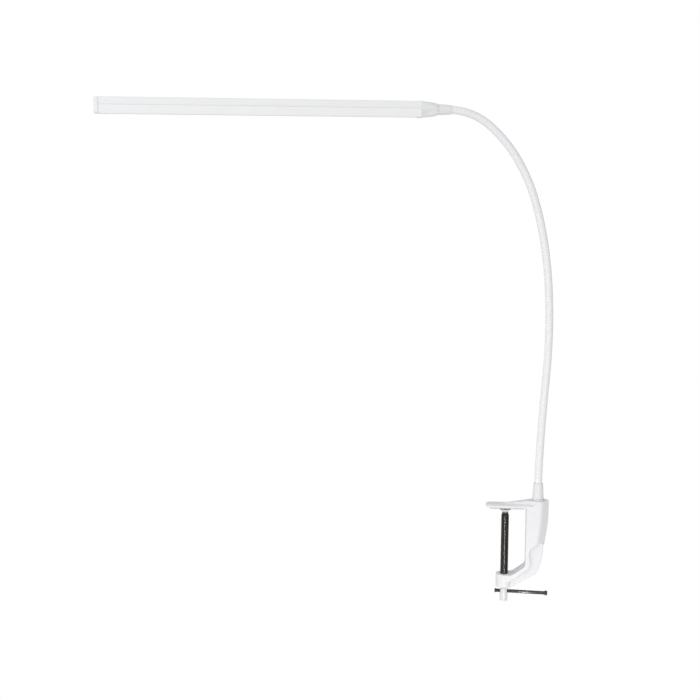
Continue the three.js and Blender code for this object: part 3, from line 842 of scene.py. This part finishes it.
stub = 3
ferrule_end = collar_start - FERRULE_GAP
stub_end = head_ferrule[1].z
groove_low, groove_high = clip_span[0].z - 0.2, clip_span[1].z + 0.2
add(
    turned("head_ferrule_body", [
        (4.1, head_ferrule[0].z, 0.05),
        (4.35, head_ferrule[0].z, 0.1),
        (4.65, head_ferrule[0].z + 1.2, 0.3),
        (5.25, ferrule_end, 0.25),
        (stub, ferrule_end, 0),
        (stub, groove_low, 0),
        (stub - 0.4, groove_low, 0),
        (stub - 0.4, groove_high, 0),
        (stub, groove_high, 0),
        (stub, stub_end, 0.2),
        (2, stub_end, 0),
        (2, 8, 0),
        (4.1, 8, 0),
    ], head),
    "powder_coat", "neck_end", "head_ferrule",
)

seam = bar_split - 1.1  # where the cover meets the housing, in a groove along each side
cover_top = seam + 0.06
GROOVE = 0.3
BAR_WALL = 1.4

housing_half = [
    (bar_top, 0, 0),
    (bar_top, bar_half - 0.35, 1.5),
    (seam - 2.8, bar_half - 0.35, 0.3),
    (seam - 2.1, bar_half - 0.1, 0.4),
    (seam - 0.5, bar_half - 0.1, 0.3),
    (seam, bar_half - GROOVE, 0.1),
    (seam, bar_half - 2, 0.2),
    (seam - 1.3, bar_half - 2, 0.1),
    (seam - 1.5, bar_half - 1.9, 0.1),
    (bar_top + BAR_WALL, bar_half - 1.9, 0.8),
    (bar_top + BAR_WALL, 0, 0),
]
cover_half = [
    (bar_bottom, 0, 0),
    (bar_bottom, bar_half - 0.15, 0.9),
    (cover_top + 0.5, bar_half - 0.15, 0.3),
    (cover_top, bar_half - GROOVE, 0.1),
    (cover_top, bar_half - 1.6, 0.2),
    (bar_bottom - 1.3, bar_half - 1.5, 1.5),
    (bar_bottom - 1.3, 0, 0),
]
housing_outline = rounded(mirrored(housing_half))
housing = prism("housing_channel", housing_outline, bar_start, bar_end, head)
add(housing, "white_aluminium", "head", "light_housing")
cover_outline = rounded(mirrored(cover_half), steps=8)
cover = prism("opal_cover", cover_outline, cover_span[0].z, cover_span[1].z, head)
add(cover, "opal_plastic", "head", "diffuser")

bar_outline = radii(rounded(mirrored([
    (bar_top, 0, 0),
    (bar_top, bar_half, 1.8),
    (bar_bottom, bar_half, 2.6),
    (bar_bottom, 0, 0),
]), steps=10), HEAD_SIDES)
plug_outline = radii(rounded(mirrored([
    (-4, 0, 0),
    (-4, 6.3, 0.5),
    (5.2, 6.3, 0.5),
    (5.2, 0, 0),
])), HEAD_SIDES)


def collar_section(undercut):
    """The collar's outline, whose lower half is narrower than its upper half by the undercut."""
    return radii(rounded(mirrored([
        (-8.2, 0, 0),
        (-8.2, 9.7, 2.0),
        (-2.2, 9.7, 0.4),
        (-1.4, 10.2, 0.5),
        (0.8, 10.2, 0.3),
        (1.2, 10.1 - undercut, 0.3),
        (8.2, 9.9 - undercut, 1.8),
        (8.2, 0, 0),
    ]), steps=10), HEAD_SIDES)


def head_ring(reaches, height):
    """A ring about the head's axis that reaches as far as each of the reaches in turn."""
    turn = 2 * math.pi
    return [
        polar(head, turn * k / len(reaches), reach, height) for k, reach in enumerate(reaches)
    ]


def collar():
    """A moulding that opens from round at the ferrule to the bar's section."""
    bore, lead_bore, shoulder_radius, shoulder = 4.6, 3.2, 6.45, 2.9
    deepest_undercut, rim_scale, steps = 2.6, 0.97, 14
    bore_end = span("pivot_sleeve", head)[1].z + GAP + 2
    plug_end = collar_end + PLUG_DEPTH
    taper = collar_end - collar_start - shoulder
    rings = [
        head_ring([radius] * HEAD_SIDES, height)
        for radius, height in [
            (lead_bore, plug_end),
            (lead_bore, bore_end),
            (bore, bore_end),
            (bore, collar_start),
            (5.0, collar_start),
            (5.25, collar_start + 0.3),
            (shoulder_radius - 0.25, collar_start + shoulder - 0.5),
            (shoulder_radius, collar_start + shoulder),
        ]
    ]
    for i in range(1, steps + 1):
        share = i / steps
        section = collar_section(deepest_undercut * min(1, 2 * (1 - share)))
        reaches = [shoulder_radius + (reach - shoulder_radius) * share for reach in section]
        rings.append(head_ring(reaches, collar_start + shoulder + taper * share))
    rim = collar_end + GAP - END_GAP
    rings.append(head_ring([reach * rim_scale for reach in section], rim))
    rings.append(head_ring(plug_outline, rim))
    rings.append(head_ring(plug_outline, plug_end))
    return loft("collar_moulding", rings, "joined")


def end_cap():
    """A moulding that closes the bar's far end, with a rounded edge."""
    start, end = bar_end + END_GAP, cap_span[1].z
    rings = [head_ring(plug_outline, bar_end - PLUG_DEPTH), head_ring(plug_outline, start)]
    for scale, share in [
        (0.96, 0), (1, 0.1), (0.995, 0.5), (0.98, 0.75), (0.95, 0.9), (0.89, 0.98), (0.8, 1),
    ]:
        reaches = [reach * scale for reach in bar_outline]
        rings.append(head_ring(reaches, start + (end - start) * share))
    return loft("end_cap_moulding", rings)


add(collar(), "frosted_plastic", "head", "collar")
add(end_cap(), "frosted_plastic", "head", "end_cap")

# ---- studio -------------------------------------------------------------------------------------
FLOOR_BELOW = 0.6  # the floor lies this far below the lamp
FLOOR_SIZE = 30
FLOOR_COLOUR = (0.85, 0.85, 0.85, 1)
FLOOR_ROUGHNESS = 0.8
WHITE = (1, 1, 1, 1)
BRIGHT_SIDE = (-0.42, -0.85, 0.3)  # the light tent is brightest towards here
DIMMEST, BRIGHTEST = 0.38, 0.99  # how strong it is on its two sides
SOFTBOXES = [
    # name, place, what it points at, size in metres and power in watts
    ("key", (-0.6, -1.6, 1.1), (0, 0, 0.2), 1.2, 2.8),
    ("left", (-1.3, -0.7, 0.9), (0, 0, 0.1), 1.0, 2.4),
    ("front", (-0.05, -1.6, 0.65), (0, 0, 0.15), 0.25, 1.4),
    ("low", (-0.09, -1.2, -0.42), (0, 0, -0.04), 0.11, 2.4),
    ("fill", (0.012, -0.13, -0.16), (0.012, 0, -0.075), 0.012, 0.024),
]


def shown_white(tree, lighting, output):
    """White where the camera looks straight at it, and the lighting for everything else."""
    white = tree.nodes.new("ShaderNodeEmission")
    white.inputs["Color"].default_value = WHITE
    white.inputs["Strength"].default_value = 1.0
    path = tree.nodes.new("ShaderNodeLightPath")
    mix = tree.nodes.new("ShaderNodeMixShader")
    tree.links.new(path.outputs["Is Camera Ray"], mix.inputs["Fac"])
    tree.links.new(lighting, mix.inputs[1])
    tree.links.new(white.outputs[0], mix.inputs[2])
    tree.links.new(mix.outputs[0], tree.nodes[output].inputs["Surface"])


# The floor is a square plate from -1 to 1, made as large as it should be by its place.
floor_place = Matrix.Translation((0, 0, cad_box[0][2] - FLOOR_BELOW))
floor_place = floor_place @ Matrix.Scale(FLOOR_SIZE / MM / 2, 4)
square = [Vector(corner) for corner in [(-1, -1), (1, -1), (1, 1), (-1, 1)]]
floor = prism("floor", square, -0.01, 0, floor_place)
pale = bpy.data.materials.new("floor")
pale.use_nodes = True
pale_shader = pale.node_tree.nodes["Principled BSDF"]
pale_shader.inputs["Base Color"].default_value = FLOOR_COLOUR
pale_shader.inputs["Roughness"].default_value = FLOOR_ROUGHNESS
shown_white(pale.node_tree, pale_shader.outputs[0], "Material Output")
floor.data.materials.append(pale)

world = bpy.data.worlds.new("studio")
world.use_nodes = True
tent = world.node_tree
sky = tent.nodes["Background"]
sky.inputs["Color"].default_value = WHITE
towards = tent.nodes.new("ShaderNodeTexCoord")
facing = tent.nodes.new("ShaderNodeVectorMath")
facing.operation = "DOT_PRODUCT"
facing.inputs[1].default_value = BRIGHT_SIDE
brightness = tent.nodes.new("ShaderNodeMapRange")
brightness.inputs["From Min"].default_value = -1
brightness.inputs["From Max"].default_value = 1
brightness.inputs["To Min"].default_value = DIMMEST
brightness.inputs["To Max"].default_value = BRIGHTEST
tent.links.new(towards.outputs["Generated"], facing.inputs[0])
tent.links.new(facing.outputs["Value"], brightness.inputs["Value"])
tent.links.new(brightness.outputs["Result"], sky.inputs["Strength"])
shown_white(tent, sky.outputs[0], "World Output")
bpy.context.scene.world = world

for name, place, aim, size, power in SOFTBOXES:
    light = bpy.data.objects.new(name, bpy.data.lights.new(name, "AREA"))
    light.data.size = size
    light.data.energy = power
    light.location = place
    light.rotation_euler = (Vector(aim) - Vector(place)).to_track_quat("-Z", "Y").to_euler()
    bpy.context.scene.collection.objects.link(light)
bpy.context.scene.view_settings.view_transform = "Standard"
